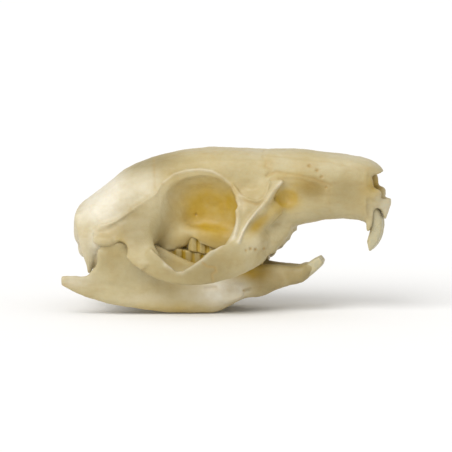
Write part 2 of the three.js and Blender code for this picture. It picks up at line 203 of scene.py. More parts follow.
class StageSettings(bpy.types.PropertyGroup):
    floor: bpy.props.FloatVectorProperty(
        name="Floor",
        description="Colour of the table",
        default=(0.95, 0.95, 0.95),
        subtype="COLOR",
    )
    radius: bpy.props.FloatProperty(
        name="Radius",
        description="Radius of the table",
        default=4.0,
        unit="LENGTH",
    )
    azimuth: bpy.props.FloatProperty(
        name="Azimuth",
        description="Turn of the camera from straight beside the skull towards its snout",
        default=math.radians(11),
        subtype="ANGLE",
    )
    elevation: bpy.props.FloatProperty(
        name="Elevation",
        description="Height of the camera over the level of the skull",
        default=math.radians(7),
        subtype="ANGLE",
    )
    distance: bpy.props.FloatProperty(
        name="Distance",
        description="Distance from the camera to the skull",
        default=1.5,
        unit="LENGTH",
    )
    view_width: bpy.props.FloatProperty(
        name="View width",
        description="Width of the picture at the skull",
        default=0.0904,
        precision=4,
        unit="LENGTH",
    )
    sky: bpy.props.FloatProperty(
        name="Room light",
        description="Strength of the even light of the room",
        default=0.67,
    )
    key: bpy.props.FloatProperty(
        name="Key light",
        description="Strength of the wide soft light from above, on the side that the camera sees",
        default=2.0,
    )
    spread: bpy.props.FloatProperty(
        name="Spread",
        description="Width of the key light as the skull sees it, for soft shadows",
        default=math.radians(45),
        subtype="ANGLE",
    )


# Shapes


def add_node(bm, name):
    """Adds a welded copy of a solid of the model to the bmesh."""
    copy = bmesh.new()
    copy.from_mesh(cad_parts[name].data)
    bmesh.ops.remove_doubles(copy, verts=copy.verts, dist=1e-6)
    welded = bpy.data.meshes.new("welded")
    copy.to_mesh(welded)
    copy.free()
    bm.from_mesh(welded)
    bpy.data.meshes.remove(welded)


def edges_between(verts):
    """Edges that have both their ends among the given vertices."""
    chosen = set(verts)
    return list({e for v in verts for e in v.link_edges if e.other_vert(v) in chosen})


def add_rod(bm, path, radii, sides=10):
    """Adds a closed rod of bone along a path of points in millimetres."""
    points = [place(*point) for point in path]
    last = len(points) - 1
    ring = []
    for i, (point, radius) in enumerate(zip(points, radii)):
        along = points[min(last, i + 1)] - points[max(0, i - 1)]
        turn = along.to_track_quat("Z", "Y").to_matrix()
        made = bmesh.ops.create_circle(bm, segments=sides, radius=radius * MM)["verts"]
        bmesh.ops.rotate(bm, verts=made, matrix=turn)
        bmesh.ops.translate(bm, verts=made, vec=point)
        loop = edges_between(made)
        if ring:
            bmesh.ops.bridge_loops(bm, edges=ring + loop)
        else:
            bmesh.ops.contextual_create(bm, geom=loop)
        ring = loop
    bmesh.ops.contextual_create(bm, geom=ring)


def add_egg(bm, centre, sizes, turn=0.0):
    """Adds an egg of bone, its centre and half sizes in millimetres, turned about the width."""
    made = bmesh.ops.create_icosphere(bm, subdivisions=3, radius=1.0)["verts"]
    bmesh.ops.scale(bm, verts=made, vec=Vector(sizes) * MM)
    bmesh.ops.rotate(bm, verts=made, matrix=Matrix.Rotation(turn, 3, "Y"))
    bmesh.ops.translate(bm, verts=made, vec=place(*centre))


def new_piece(bm, name):
    """Makes an object of the bmesh, with its place in its mesh."""
    mesh = bpy.data.meshes.new(name)
    bmesh.ops.recalc_face_normals(bm, faces=bm.faces)
    bm.to_mesh(mesh)
    bm.free()
    piece = bpy.data.objects.new(name, mesh)
    bpy.context.scene.collection.objects.link(piece)
    return piece


def grind(piece, spot, slope, reach):
    """Wears a tooth flat beyond a plane through a spot, as far as the reach from it."""
    points, _ = points_of(piece.data)
    away = np.array(slope) / np.linalg.norm(slope)
    gap = points - np.array(spot)
    beyond = np.maximum(gap @ away, 0) * (np.linalg.norm(gap, axis=1) < reach)
    set_points(piece.data, points - beyond[:, None] * away)


def take_modifiers(piece):
    """Gives the piece the mesh that its modifiers make, and takes them off."""
    depsgraph = bpy.context.evaluated_depsgraph_get()
    finished = bpy.data.meshes.new_from_object(piece.evaluated_get(depsgraph))
    old = piece.data
    piece.modifiers.clear()
    piece.data = finished
    bpy.data.meshes.remove(old)


def grow_skin(piece, cell, seal, softness):
    """Draws one even skin over the bones of a piece and closes the narrow joints between them."""
    for amount in (seal, -seal):
        skin = piece.modifiers.new("Skin", "REMESH")
        skin.mode = "VOXEL"
        skin.voxel_size = cell
        swell = piece.modifiers.new("Swell", "DISPLACE")
        swell.strength = amount
        swell.mid_level = 0.0
    soft = piece.modifiers.new("Soft", "SMOOTH")
    soft.factor = 0.5
    soft.iterations = softness
    take_modifiers(piece)


def thin_faces(piece, most):
    """Lowers the number of triangles where the surface is even."""
    piece.data.calc_loop_triangles()
    count = len(piece.data.loop_triangles)
    if count > most:
        thin = piece.modifiers.new("Thin", "DECIMATE")
        thin.ratio = most / count
        take_modifiers(piece)


# Carving


def points_of(mesh):
    """Places and directions of the vertices, in millimetres from the cross plane."""
    count = len(mesh.vertices)
    points = np.empty(count * 3, np.float32)
    normals = np.empty(count * 3, np.float32)
    mesh.vertices.foreach_get("co", points)
    mesh.vertex_normals.foreach_get("vector", normals)
    points = points.reshape(-1, 3).astype(float) / MM
    points[:, 0] += CENTRE_X
    return points, normals.reshape(-1, 3).astype(float)


def set_points(mesh, points):
    """Moves the vertices to places in millimetres from the cross plane."""
    moved = points.copy()
    moved[:, 0] -= CENTRE_X
    mesh.vertices.foreach_set("co", (moved * MM).astype(np.float32).ravel())
    mesh.update()


def nearness(points, path, radius):
    """How near each point lies to a path: 1 on it, fading to 0 over about twice the radius."""
    path = np.array(path, float)
    best = np.full(len(points), np.inf)
    for start, end in zip(path[:-1], path[1:]):
        along = end - start
        share = np.clip((points - start) @ along / max(along @ along, 1e-9), 0, 1)
        gap = points - start - share[:, None] * along
        best = np.minimum(best, np.einsum("ij,ij->i", gap, gap))
    return np.exp(-best / radius**2)


def neighbour_mean(values, edges, degree):
    """Mean of the values at the neighbours of each vertex."""
    ends = np.concatenate([edges[:, 0], edges[:, 1]])
    others = np.concatenate([edges[:, 1], edges[:, 0]])
    columns = values.reshape(len(values), -1).T
    totals = [np.bincount(ends, weights=column[others], minlength=len(values)) for column in columns]
    return (np.array(totals) / degree).T.reshape(values.shape)


def edges_of(mesh):
    """Pairs of vertices, and the number of neighbours of each vertex."""
    edges = np.empty(len(mesh.edges) * 2, np.int32)
    mesh.edges.foreach_get("vertices", edges)
    edges = edges.reshape(-1, 2)
    degree = np.bincount(edges.ravel(), minlength=len(mesh.vertices)).astype(float)
    return edges, np.maximum(degree, 1)


def both_sides(path):
    """A path given on the left side, and the same on the right side."""
    return [[(x, y * side, z) for x, y, z in path] for side in SIDES.values()]


def through(place_on_bone):
    """A short path straight through the bone's side, for a small hole there."""
    x, y, z = place_on_bone
    return [(x - 0.3, y - 1.5, z - 0.2), (x + 0.3, y + 1.5, z + 0.2)]


def melt(points, edges, middle, radius, rounds):
    """Lets the forms round a place run into each other."""
    weight = nearness(points, [middle, middle], radius)
    close = weight > 0.02
    near = edges[close[edges[:, 0]] & close[edges[:, 1]]]
    if not len(near):
        return
    chosen, index = np.unique(near, return_inverse=True)
    index = index.reshape(-1, 2)
    degree = np.maximum(np.bincount(index.ravel(), minlength=len(chosen)), 1).astype(float)
    part = points[chosen]
    share = 0.7 * weight[chosen][:, None]
    for _ in range(rounds):
        part += share * (neighbour_mean(part, index, degree) - part)
    points[chosen] = part


def carve(piece, strokes, melts, swell):
    """Cuts grooves and raises ridges along paths, melts forms together and makes the bone uneven."""
    mesh = piece.data
    points, _ = points_of(mesh)
    edges, _ = edges_of(mesh)
    for centre, radius, rounds in melts:
        for middle in both_sides([centre]):
            melt(points, edges, middle[0], radius, rounds)
    set_points(mesh, points)
    points, normals = points_of(mesh)
    for path, radius, height in strokes:
        for line in both_sides(path):
            points += normals * (height * nearness(points, line, radius))[:, None]
    rise = [
        noise.noise(Vector(p) * 0.35) + 0.4 * noise.noise(Vector(p) * 1.1) for p in points
    ]
    points += normals * (np.array(rise) * swell / MM)[:, None]
    set_points(mesh, points)


# Surface marks


def hollow_depth(mesh, reach, rays=13):
    """How enclosed each vertex is, from 0 in the open to 1 deep in a hollow."""
    count = len(mesh.vertices)
    normals = np.empty(count * 3, np.float32)
    mesh.vertex_normals.foreach_get("vector", normals)
    normals = normals.reshape(-1, 3)
    faces = [tuple(face.vertices) for face in mesh.polygons]
    tree = BVHTree.FromPolygons([v.co for v in mesh.vertices], faces)
    step = math.pi * (3 - math.sqrt(5))
    depth = np.zeros(count)
    for i, vertex in enumerate(mesh.vertices):
        up = Vector(normals[i])
        turn = up.to_track_quat("Z", "Y")
        start = vertex.co + up * 0.00005
        shade = 0.0
        for ray in range(rays):
            height = math.sqrt(1 - (ray + 0.5) / rays * 0.97)
            flat = math.sqrt(1 - height * height)
            angle = ray * step + i % 7
            aim = turn @ Vector((flat * math.cos(angle), flat * math.sin(angle), height))
            distance = tree.ray_cast(start, aim, reach)[3]
            if distance is not None:
                shade += 1 - 0.5 * distance / reach
        depth[i] = shade / rays
    edges, degree = edges_of(mesh)
    for _ in range(4):
        depth = 0.4 * depth + 0.6 * neighbour_mean(depth, edges, degree)
    return depth


def write_mark(mesh, name, values):
    """Keeps a number from 0 to 1 on each vertex for the finish to read."""
    mark = mesh.attributes.new(name, "FLOAT", "POINT")
    mark.data.foreach_set("value", np.clip(values, 0, 1).astype(np.float32))


def mark_lines(mesh, lines):
    """Strength of marks along paths: darkness of sutures, small holes and painted shadow lines, painted
    highlights along rims, and painted amber shade along the nerve trough.
    """
    points, _ = points_of(mesh)
    dark = np.zeros(len(points))
    for path, radius, strength in lines:
        for line in both_sides(path):
            dark = np.maximum(dark, strength * nearness(points, line, radius))
    return dark


def mark_patches(mesh, patches):
    """Strength of tinted patches from eggs given by centre, half sizes and strength; the patches hold
    painted shade, painted highlights and paler bone.
    """
    points, _ = points_of(mesh)
    tint_patch = np.zeros(len(points))
    for centre, sizes, strength in patches:
        for middle in both_sides([centre]):
            gap = (points - np.array(middle[0])) / np.array(sizes)
            tint_patch = np.maximum(tint_patch, strength * np.exp(-np.einsum("ij,ij->i", gap, gap)))
    return tint_patch


# Finishes


class Finish:
    """Small helper that adds and joins the nodes of one finish."""

    def __init__(self, name):
        self.material = bpy.data.materials.new(name)
        self.material.use_nodes = True
        self.tree = self.material.node_tree
        self.shader = self.tree.nodes["Principled BSDF"]
        self.coordinates = self.add("ShaderNodeTexCoord").outputs["Object"]

    def add(self, kind):
        return self.tree.nodes.new(kind)

    def join(self, value, socket):
        if isinstance(value, bpy.types.NodeSocket):
            self.tree.links.new(value, socket)
        else:
            socket.default_value = value

    def mark(self, name):
        """Number kept on the vertices of the piece."""
        node = self.add("ShaderNodeAttribute")
        node.attribute_name = name
        return node.outputs["Fac"]

    def stretched(self, scale):
        """Object coordinates stretched by a factor on each axis."""
        node = self.add("ShaderNodeMapping")
        node.inputs["Scale"].default_value = scale
        self.join(self.coordinates, node.inputs["Vector"])
        return node.outputs["Vector"]

    def grain(self, scale, detail=3.0, roughness=0.55, vector=None):
        """Cloudy noise, its scale in waves per metre."""
        node = self.add("ShaderNodeTexNoise")
        node.inputs["Scale"].default_value = scale
        node.inputs["Detail"].default_value = detail
        node.inputs["Roughness"].default_value = roughness
        self.join(vector or self.coordinates, node.inputs["Vector"])
        return node.outputs["Fac"]

    def spread(self, value, low, high, start=0.0, end=1.0):
        """The value moved from one range to another and kept inside it."""
        node = self.add("ShaderNodeMapRange")
        self.join(value, node.inputs["Value"])
        for name, number in zip(("From Min", "From Max", "To Min", "To Max"), (low, high, start, end)):
            node.inputs[name].default_value = number
        return node.outputs["Result"]

    def sum(self, operation, first, second):
        node = self.add("ShaderNodeMath")
        node.operation = operation
        node.use_clamp = operation != "MULTIPLY"
        self.join(first, node.inputs[0])
        self.join(second, node.inputs[1])
        return node.outputs[0]

    def blend(self, share, first, second, kind="MIX"):
        """One colour laid over another by a share."""
        node = self.add("ShaderNodeMix")
        node.data_type = "RGBA"
        node.blend_type = kind
        self.join(share, node.inputs[0])
        for colour, socket in ((first, node.inputs[6]), (second, node.inputs[7])):
            self.join(colour if isinstance(colour, bpy.types.NodeSocket) else (*colour, 1), socket)
        return node.outputs[2]

    def relief(self, height, distance, below=None):
        """Fine relief of the surface, its full height in metres."""
        node = self.add("ShaderNodeBump")
        node.inputs["Distance"].default_value = distance
        self.join(height, node.inputs["Height"])
        if below:
            self.join(below, node.inputs["Normal"])
        return node.outputs["Normal"]


def bone_finish(name):
    """Cleaned dry bone: ivory to tan, fine pores and streaks, with painted light: tan painted shade in
    shallow hollows, amber painted shade in deep hollows and recesses, warm like light through thin bone,
    darker painted shade patches, and ivory painted highlights beside the paler bone.
    """
    colours = bpy.context.scene.skull_finish
    finish = Finish(name)
    clouds = finish.grain(140, 4)
    mottle = finish.spread(finish.grain(900, 4, 0.6), 0.35, 0.7)
    streaks = finish.grain(420, 4, 0.6, finish.stretched((0.35, 1.5, 1.5)))
    colour = finish.blend(finish.spread(clouds, 0.42, 0.72, 0, 0.7), colours.cream, colours.tan)
    # Ivory over paler bone, and painted highlights along rims and on spots made to look lit.
    pale_and_highlight = finish.sum("MULTIPLY", finish.mark("pale"), finish.spread(clouds, 0.68, 0.42, 0.55, 1))
    colour = finish.blend(pale_and_highlight, colour, colours.ivory)
    # Painted shade: tan laid into shallow hollows by how enclosed the surface is.
    shallow = finish.spread(finish.mark("hollow"), 0.16, 0.55, 0, 0.8)
    colour = finish.blend(shallow, colour, colours.tan)
    # Painted shade: amber in the patches and the deep hollows, warm like light through thin bone, held
    # back where the bone is pale or highlighted.
    ragged = finish.sum("MULTIPLY", finish.mark("tint_patch"), finish.spread(clouds, 0.3, 0.6, 0.65, 1.1))
    deep = finish.sum("ADD", ragged, finish.spread(finish.mark("hollow"), 0.5, 0.85, 0, 0.6))
    deep = finish.sum("MULTIPLY", deep, finish.spread(finish.mark("pale"), 0.2, 1, 1, 0.15))
    colour = finish.blend(deep, colour, colours.amber)
    colour = finish.blend(finish.sum("MULTIPLY", mottle, 0.16), colour, MOTTLE_TINT, "MULTIPLY")
    grained = finish.spread(streaks, 0.52, 0.72, 0, 0.2)
    colour = finish.blend(grained, colour, GRAIN_TINT, "MULTIPLY")
    # Painted shade: the shade patches darken the bone towards the shade tint.
    colour = finish.blend(finish.mark("painted_shade"), colour, colours.shade_tint, "MULTIPLY")
    # Sutures and small holes darken to the seam colour, and so do the painted shadow lines.
    colour = finish.blend(finish.mark("line"), colour, colours.seam)
    finish.join(colour, finish.shader.inputs["Base Color"])
    rough = finish.spread(finish.grain(700, 3), 0.3, 0.7, 0.4, 0.56)
    finish.join(rough, finish.shader.inputs["Roughness"])
    pores = finish.spread(finish.grain(3600, 2, 0.5), 0.3, 0.5)
    relief = finish.relief(pores, 0.000016)
    relief = finish.relief(streaks, 0.00009, relief)
    finish.join(relief, finish.shader.inputs["Normal"])
    finish.shader.inputs["Specular IOR Level"].default_value = 0.42
    finish.shader.inputs["Subsurface Weight"].default_value = 0.12
    finish.shader.inputs["Subsurface Radius"].default_value = (1.0, 0.62, 0.32)
    finish.shader.inputs["Subsurface Scale"].default_value = 0.0009
    return finish.material


def enamel_finish(name, stretch):
    """Smooth cream enamel with fine lines along the tooth and a warmer root, tan painted shade in its
    hollows, and amber: patches on the incisors, and on the cheek teeth a warm tint deepened as painted
    shade in the folds.
    """
    colours = bpy.context.scene.skull_finish
    finish = Finish(name)
    lines = finish.grain(900, 3, 0.6, finish.stretched(stretch))
    colour = finish.blend(finish.spread(lines, 0.35, 0.7), colours.enamel, colours.cream)
    # Painted shade: tan in the hollows of the tooth.
    colour = finish.blend(finish.spread(finish.mark("hollow"), 0.2, 0.7, 0, 0.8), colour, colours.tan)
    # Amber: patches on the incisors, and on the cheek teeth a warm tint deepened as painted shade in the
    # folds.
    colour = finish.blend(finish.mark("tint_patch"), colour, colours.amber)
    finish.join(colour, finish.shader.inputs["Base Color"])
    rough = finish.spread(finish.grain(1200, 2), 0.3, 0.7, 0.24, 0.38)
    finish.join(rough, finish.shader.inputs["Roughness"])
    finish.join(finish.relief(lines, 0.00004), finish.shader.inputs["Normal"])
    finish.shader.inputs["Subsurface Weight"].default_value = 0.1
    finish.shader.inputs["Subsurface Radius"].default_value = (1.0, 0.7, 0.4)
    finish.shader.inputs["Subsurface Scale"].default_value = 0.0006
    return finish.material


def settle(piece, material, slot, *nodes):
    """Gives a finished piece its finish and its place in the model."""
    piece.data.materials.clear()
    piece.data.materials.append(material)
    piece.data.shade_smooth()
    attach(piece, "root")
    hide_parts(*nodes)


# Marks of the bones, in millimetres on the left side: rods and knobs that join the skin, paths with
# their radius and height, places that melt with their radius and rounds, dark lines (partly painted
# shadow) and painted highlights along rims with their radius and strength, and patches of painted amber
# shade, of pale bone partly painted as highlight and of painted shade, with their half sizes and strength

EYE_RIM = [
    (-11.2, 9.3, 26),
    (-8.8, 8.4, 27.9),
    (-6.4, 7.9, 28.6),
    (-3.8, 7.8, 28.9),
    (-1.3, 7.8, 28.6),
    (0.7, 8, 27.6),
    (2.2, 8.1, 26.4),
    (3.2, 8.1, 25.2),
]
TEMPLE_LINE = [
    (-11.2, 9.3, 26),
    (-12.2, 10.5, 24),
    (-13.7, 11.2, 23),
    (-16.8, 11.9, 20.8),
    (-19.8, 12.4, 18.7),
    (-22.4, 12.3, 17.8),
    (-25.2, 10.9, 16.8),
]
TEAR_BONE = [
    (3.2, 8.2, 25.2),
    (4, 8.5, 23.8),
    (4.6, 9.2, 22.1),
    (4.5, 10.1, 20.7),
    (4.5, 10.7, 19.1),
    (4.3, 11.3, 17.6),
    (4, 12, 16.2),
]
CHEEK_FRONT = [
    (12.6, 7, 26.6),
    (11, 8.4, 24.8),
    (9.9, 9.3, 22.9),
    (8.1, 10.2, 21),
    (6.6, 10.9, 19),
    (5.6, 11.6, 17),
    (5, 12.4, 15.2),
]
BROW_EDGE = [
    (2.8, 8.1, 26.2),
    (4.7, 8.7, 23.9),
    (6.5, 9.2, 23.2),
    (8.1, 9.3, 22.9),
    (9.3, 9, 23.5),
    (10, 8.4, 24.8),
    (10.2, 7.6, 26.6),
]
NERVE_TROUGH = [(12.4, 6.4, 22.4), (10.4, 8, 20.6), (8.4, 8.9, 18.9), (6.9, 9.4, 17.2), (6.2, 9.8, 16)]
# Painted shadow line just below the brow edge.
BROW_SHADOW_LINE = [(x, y, z - 0.5) for x, y, z in BROW_EDGE]
BROW_BEHIND = [(5.4, 8.4, 25.6), (6.6, 8.4, 25.2), (8, 8.2, 25.6)]
BULGE_EDGE = [
    (5.7, 10.5, 15.3),
    (6.1, 9.6, 16.8),
    (7.4, 8.6, 17.5),
    (8.6, 7.6, 17),
    (9.5, 6.8, 15.7),
    (9.4, 6.4, 14.1),
]
CHEEK_HOLLOW = [(8.4, 9.4, 22), (6.8, 10.2, 20.3), (5.6, 10.9, 18.2), (4.9, 11.6, 16.4)]
NOSTRIL_RIM = [(28.6, 4.2, 25.7), (29.4, 4, 24.6), (30.5, 3.6, 23.8), (31.7, 2.6, 23.3)]
TOOTH_SHEATH = [(29.7, 2.8, 23.2), (29.8, 2.75, 20.5), (29.5, 2.7, 18.1), (29.2, 2.6, 16.7)]
ARCH_TOP = [(0.2, 15.3, 13.4), (-1.6, 16.1, 11.8), (-5.5, 16.7, 9.2), (-8.8, 16.6, 10.6)]
ARCH_RIM = [TEAR_BONE[-1], (2, 13.8, 14.8), *ARCH_TOP, (-9.6, 16.2, 12.6), (-10.4, 15.4, 14.6)]
CHEEK_SUTURE = [
    (-1.6, 16.2, 11.4),
    (-0.7, 16, 10.6),
    (0.8, 15.5, 10.4),
    (1, 15.4, 9.6),
    (0.2, 15.7, 9.1),
    (0.4, 15.6, 7.6),
]
CROWN_SUTURE = [
    (-14.4, 0, 30.8),
    (-14.1, 3, 30.4),
    (-13.6, 5.4, 29.7),
    (-13, 7.9, 28.3),
    (-12.4, 9.7, 25.4),
]
BRIDGE_SUTURE = [
    (7.9, 1, 32.3),
    (8.2, 4.5, 31.2),
    (9.3, 5.6, 30.2),
    (9.1, 6, 29.6),
    (10.4, 6.2, 29),
    (9.6, 6.7, 27.8),
]
NOSE_SUTURE = [(8.2, 4.2, 31.4), (11, 4.4, 31.4), (16, 4.3, 31.1), (22.1, 4.2, 30.5), (27.2, 4.3, 29.6)]
MUZZLE_GROOVE = [
    (9.5, 6.7, 27.8),
    (11.4, 6.1, 28.6),
    (13.4, 5.9, 28.2),
    (15.8, 5.8, 27.9),
    (18.6, 5.7, 27.3),
    (22.3, 5.5, 26),
]
MUZZLE_GROOVE_LOW = [(10.4, 7.2, 27.1), (13, 6.1, 27.2), (16.2, 5.8, 27.1), (19, 5.7, 25.9)]
MUZZLE_SUTURE = [(22.3, 5.5, 26), (21.6, 5.5, 23.5), (22, 5, 21.3), (21.4, 3.2, 19.2)]
MUZZLE_HOLES = [(17.8, 5, 29.8), (19.4, 5.3, 28.9), (20.4, 5.5, 27.7), (21.3, 5.6, 25.6)]
CHEEK_HOLES = [
    (5.9, 10, 13.2),
    (6.8, 9.6, 13.5),
    (7.7, 9, 13.3),
    (9.1, 7.4, 13.3),
    (-5.1, 5, 19.5),
    (-24.2, 10.9, 15),
]

SKULL_EDGES = [
    (EYE_RIM, [0.22, 0.25, 0.25, 0.25, 0.25, 0.25, 0.25, 0.3]),
    (TEMPLE_LINE[:4], [0.35, 0.45, 0.5, 0.5]),
    (TEAR_BONE, [0.35, 0.4, 0.35, 0.45, 0.4, 0.35, 0.35]),
    (CHEEK_FRONT, [0.35, 0.35, 0.3, 0.3, 0.3, 0.3, 0.35]),
    (NOSTRIL_RIM, [0.45, 0.75, 0.8, 0.5]),
    (TOOTH_SHEATH, [0.6, 0.65, 0.6, 0.35]),
]
SKULL_KNOBS = [
    ((-12.9, 9.4, 19.6), (3.4, 2.4, 4.6)),
    ((-13.4, 11.4, 16.6), (2.8, 2.2, 3.2)),
    ((4.2, 9, 23.2), (0.55, 0.5, 0.8)),
    ((4.3, 10.2, 20.9), (0.5, 0.5, 0.7)),
    ((6.4, 9.2, 14.9), (3, 2.2, 2.6)),
    ((-9, 6.8, 14.4), (3.2, 1.8, 1.6)),
    ((-10.6, 7.2, 13.2), (2.6, 1.6, 1.2)),
    ((-22, 12.4, 14.8), (2.8, 1.7, 1.3)),
    ((13.7, 2.5, 16), (0.35, 0.45, 0.3)),
    ((12.3, 2.8, 14.1), (0.3, 0.45, 0.35)),
    ((10.7, 3.1, 12.4), (0.35, 0.45, 0.3)),
    ((24.6, 1.9, 26.6), (3.6, 1.5, 1.6)),
    ((25, 1.9, 23.9), (3.6, 1.6, 1.1)),
    ((26.4, 0, 24.9), (3.4, 0.4, 2.9)),
    ((28.9, 3, 26.1), (1.5, 1.4, 2.1)),
    ((30.3, 2.5, 24.2), (1.7, 1.3, 1.1)),
    ((-7.6, 6.6, 15.8), (2.6, 2, 1.7)),
    ((-10.6, 7, 14.8), (3.4, 1.8, 1.9)),
]

SKULL_STROKES = [
    (EYE_RIM, 0.25, 0.12),
    (TEMPLE_LINE, 0.32, 0.2),
    (TEAR_BONE, 0.4, 0.28),
    (CHEEK_FRONT, 0.34, 0.34),
    (BROW_EDGE, 0.3, 0.3),
    (BROW_BEHIND, 0.9, -0.3),
    (BULGE_EDGE, 0.5, 0.22),
    (CHEEK_HOLLOW, 1, -0.4),
    (ARCH_TOP, 0.35, 0.22),
    (CHEEK_SUTURE, 0.25, -0.14),
    (CROWN_SUTURE, 0.3, -0.08),
    (BRIDGE_SUTURE, 0.3, -0.12),
    (NOSE_SUTURE, 0.3, -0.06),
    (MUZZLE_GROOVE, 0.3, -0.16),
    (MUZZLE_GROOVE_LOW, 0.3, -0.12),
    (MUZZLE_SUTURE, 0.25, -0.06),
    *[(through(hole), 0.26, -0.35) for hole in MUZZLE_HOLES + CHEEK_HOLES],
    ([(14, 6, 24.6), (18.4, 5.8, 23.8)], 2.2, -0.55),
    ([(-19, 12, 18.2), (-15, 12.6, 18.8)], 2, -0.25),
    ([(-25.4, 9.6, 21.3), (-23.9, 11.2, 19.7), (-23.1, 12, 17.9)], 0.6, 0.2),
]
SKULL_MELTS = [
    ((-11.4, 10.6, 19.5), 3.2, 160),
    ((-11.6, 11.8, 16), 2.4, 120),
    ((-11.4, 9.8, 24.2), 1.6, 50),
    ((-10.2, 9.3, 24.6), 1.8, 70),
    ((-9.4, 8.6, 20.4), 3.6, 180),
    ((6.2, 10, 15), 3, 80),
    ((13.4, 5.8, 23), 2.4, 40),
    ((8.4, 8.4, 17.8), 2.2, 40),
    ((-2.4, 5.6, 17.2), 2.4, 50),
    ((2, 5.6, 17.2), 2.4, 50),
    ((-8.6, 7, 15.4), 2.6, 60),
]
SKULL_LINES = [
    (CHEEK_SUTURE, 0.24, 0.55),
    (CROWN_SUTURE, 0.3, 0.28),
    (BRIDGE_SUTURE, 0.3, 0.3),
    (NOSE_SUTURE, 0.25, 0.14),
    (MUZZLE_GROOVE, 0.28, 0.5),
    (MUZZLE_GROOVE_LOW, 0.28, 0.35),
    (MUZZLE_SUTURE, 0.2, 0.2),
    # Painted shadow line under the brow edge.
    (BROW_SHADOW_LINE, 0.35, 0.4),
    *[(through(hole), 0.26, 0.9) for hole in MUZZLE_HOLES + CHEEK_HOLES],
]
# Painted shade: amber patches in the orbit, the hollows and recesses, warm like light through thin bone.
SKULL_AMBER_SHADES = [
    ((-2, 4, 21.5), (7.8, 4, 7), 1.3),
    ((0, 5.5, 17.6), (6.4, 4, 4.4), 1.35),
    ((-6, 6, 14.6), (6, 3.4, 2), 0.9),
    ((2.4, 5.5, 21), (3, 4, 5), 1.2),
    ((-18.2, 12.6, 14), (1.6, 2.4, 2.6), 0.8),
    ((13.2, 5.4, 23.1), (2.5, 2.6, 2), 2),
    ((11, 7, 21.2), (2.4, 2.2, 2), 1),
    ((9.6, 5, 30), (1.4, 2.6, 1.8), 0.3),
    ((16.6, 5.8, 25.6), (4, 2, 2.4), 0.6),
    ((13.5, 6, 27.8), (5, 1.6, 0.9), 0.45),
    ((29.8, 2.4, 25.6), (1.8, 1.9, 2.1), 0.9),
    ((-20.6, 11.6, 17.4), (3.4, 2.6, 2), 0.4),
    ((-17, 11.4, 20.2), (2.4, 2.4, 1.8), 0.3),
    ((-24.3, 9, 11), (1.4, 1.6, 2.6), 0.55),
    ((-25.6, 9.6, 19.2), (1.4, 2.2, 3), 0.25),
    ((6.4, 9, 12), (4, 2.4, 1.2), 0.3),
]
# Patches of paler bone, partly painted highlights on spots made to look lit.
SKULL_PALE_AND_HIGHLIGHT_PATCHES = [
    ((-23, 8, 22.6), (6.4, 7, 6), 1.5),
    ((-15.5, 9, 26), (4, 6, 5), 0.55),
    ((-27.5, 6, 15), (3, 6, 6), 0.85),
    ((0, 0, 33), (16, 7, 2.4), 0.35),
    ((26, 0, 31), (8, 4, 2.4), 0.3),
    ((-4.4, 6.8, 13.6), (1.6, 2.4, 1), 1.2),
    ((4.6, 8.8, 22.6), (1.1, 2, 2.6), 0.7),
    ((32.5, 1.5, 21.5), (2, 3, 3), 0.35),
    ((7.4, 9.6, 15.4), (2.6, 3, 2.6), 0.2),
    ((-24.4, 10.4, 15), (2, 3, 7), 0.7),
]
# Painted highlights along the rims and ridges.
SKULL_HIGHLIGHT_RIMS = [
    (EYE_RIM, 0.28, 0.7),
    (TEMPLE_LINE, 0.35, 0.4),
    (BULGE_EDGE, 0.35, 0.35),
    (TEAR_BONE, 0.45, 0.7),
    (CHEEK_FRONT, 0.4, 0.75),
    (ARCH_RIM, 0.45, 0.85),
]
# Painted shade: patches darkened where the bone stands in shadow, on the muzzle's side, the temple, above
# the orbit, the cheekbone, the crown and the cheek.
SKULL_SHADE_PATCHES = [
    ((18.6, 5.8, 25.2), (3.4, 3, 3), 1.2),
    ((24.6, 5, 24.8), (5, 3, 4), 0.9),
    ((20, 4, 21.6), (6, 3, 2.4), 0.5),
    ((-15.4, 12.4, 17), (4.4, 3.4, 4.6), 1.6),
    ((2.5, 7, 28), (4, 3, 2), 0.5),
    ((-4, 15.5, 9.8), (9, 3, 4.6), 1.2),
    ((-16, 5, 30), (8, 6, 2.5), 1.2),
    ((8, 9, 20), (3.4, 3, 4), 0.3),
]

JAW_EDGES = [
    ([(13.6, 1.15, 7), (15.4, 1.1, 7.75), (16.6, 1.1, 8.4), (18, 1.1, 9.4)], [1.8, 1.75, 1.4, 0.7]),
    ([(8, 1.3, 5.7), (10, 1.35, 6), (12, 1.35, 6.4), (14.6, 1.3, 7.1)], [1.15, 1.3, 1.35, 1.45]),
]
JAW_STROKES = [
    ([(-23.6, 13.1, 13), (-22.9, 13.3, 10.5), (-23.7, 13.5, 8.9), (-26, 13.8, 7.9)], 0.6, 0.14),
    ([(-21.1, 13.2, 3.3), (-15.2, 11.8, 1.9), (-7.5, 9.5, 1.2), (-0.7, 8.2, 1.6)], 0.8, 0.14),
    ([(-19, 13, 10), (-14, 12, 7), (-8, 10, 5)], 2.2, -0.3),
    ([(-16, 12.4, 5.2), (-24, 13.6, 6.2), (-29, 14.4, 6.8)], 0.8, -0.16),
    ([(-6, 9.6, 6), (-2, 9, 6), (2, 8.2, 5.9), (4.6, 7, 5.8)], 0.55, 0.22),
    ([(-2.4, 8.9, 5.2), (-0.4, 8.6, 5.4)], 0.35, -0.3),
    ([(4.4, 6.8, 4.7), (6, 6.1, 4.9)], 0.3, -0.4),
    ([(16, 0.4, 9.3), (16, 2.4, 9), (16, 2.6, 7.4), (16, 2.2, 6.3)], 0.8, 0.2),
    ([(8, 4.6, 8.2), (11, 3.4, 7.8), (13, 2.8, 7.4)], 1.2, -0.16),
]
